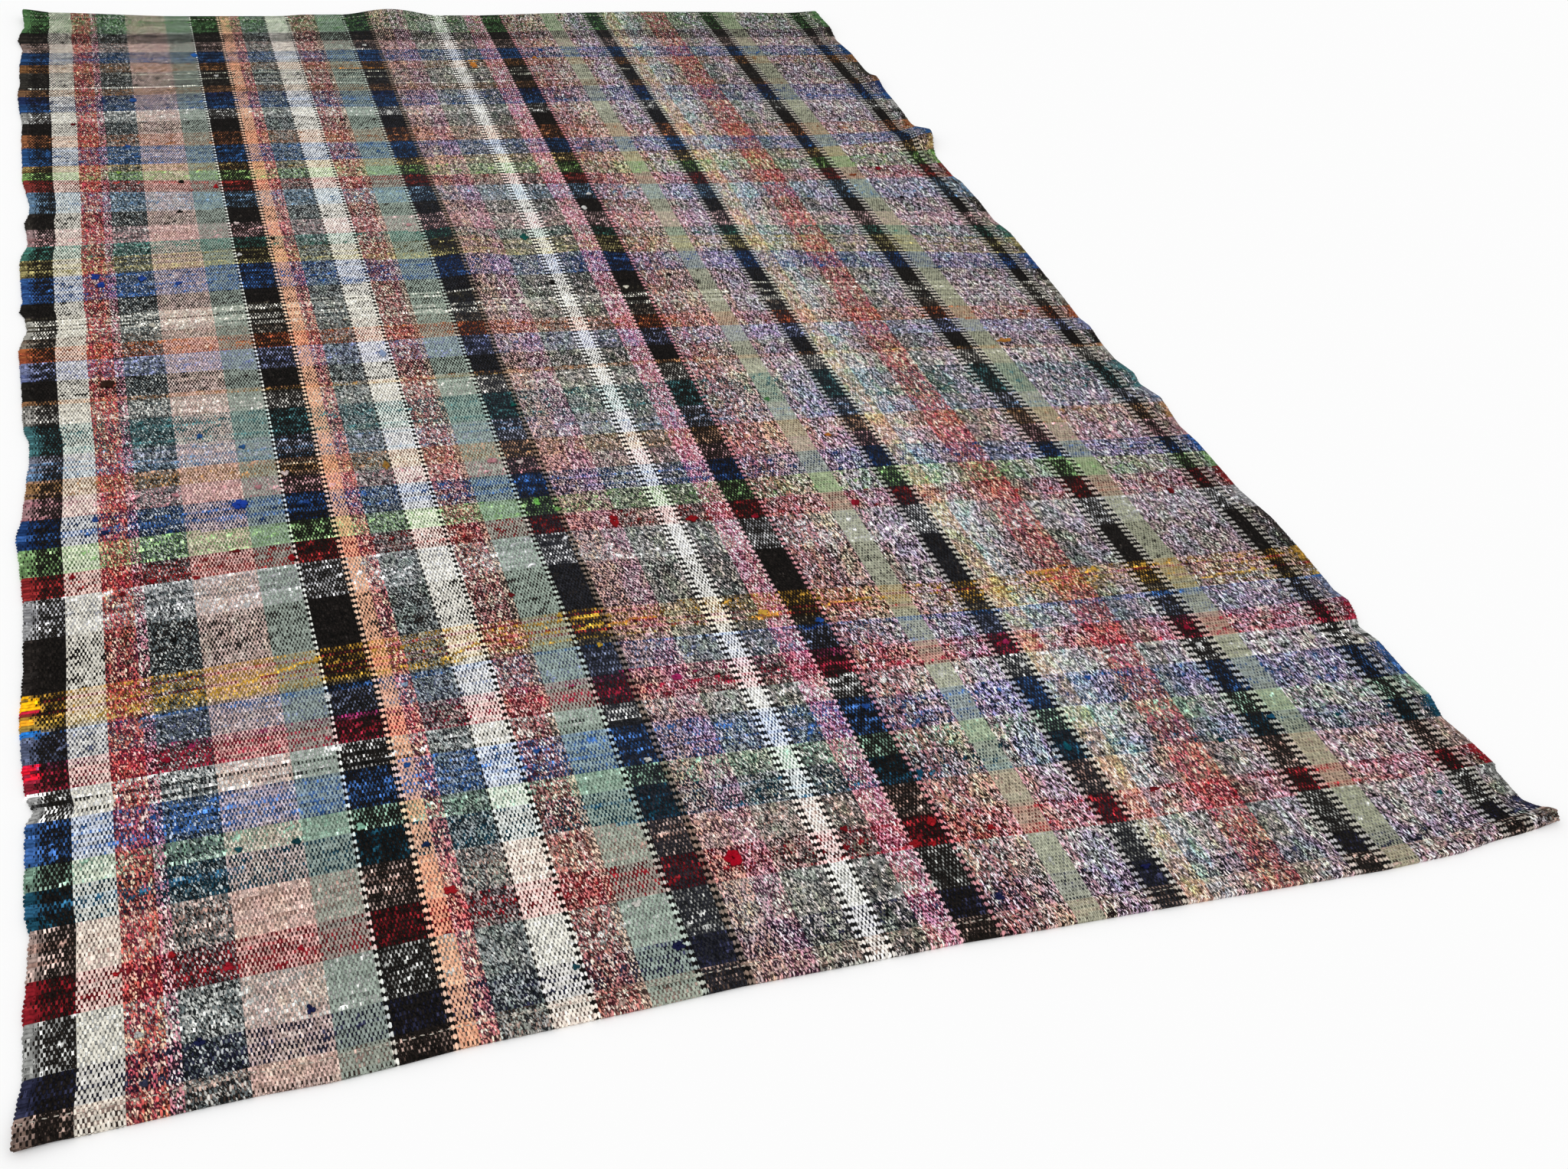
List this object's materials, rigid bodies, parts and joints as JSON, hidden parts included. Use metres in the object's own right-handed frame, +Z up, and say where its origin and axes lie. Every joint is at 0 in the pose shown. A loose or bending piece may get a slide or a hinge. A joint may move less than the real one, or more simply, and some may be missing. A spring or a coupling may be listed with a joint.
{
  "type": "rag_rug",
  "caption": "Hand-loomed rag rug, 1.75 by 2.76 m: crossing stripes of rag weft and marled warp, two turned and stitched ends, lying flat.",
  "frame": {"origin": "centre of the rug's box, on the floor", "axes": "+X across the rug to the right, +Y along it to the far end, +Z up from the floor"},
  "size_m": [1.7868, 2.773, 0.0181],
  "materials": {
    "mixed_rag_cloth": "matte woven rags and cotton warp"
  },
  "bodies": {
    "root": {"rug": "mixed_rag_cloth"}
  },
  "joints": []
}
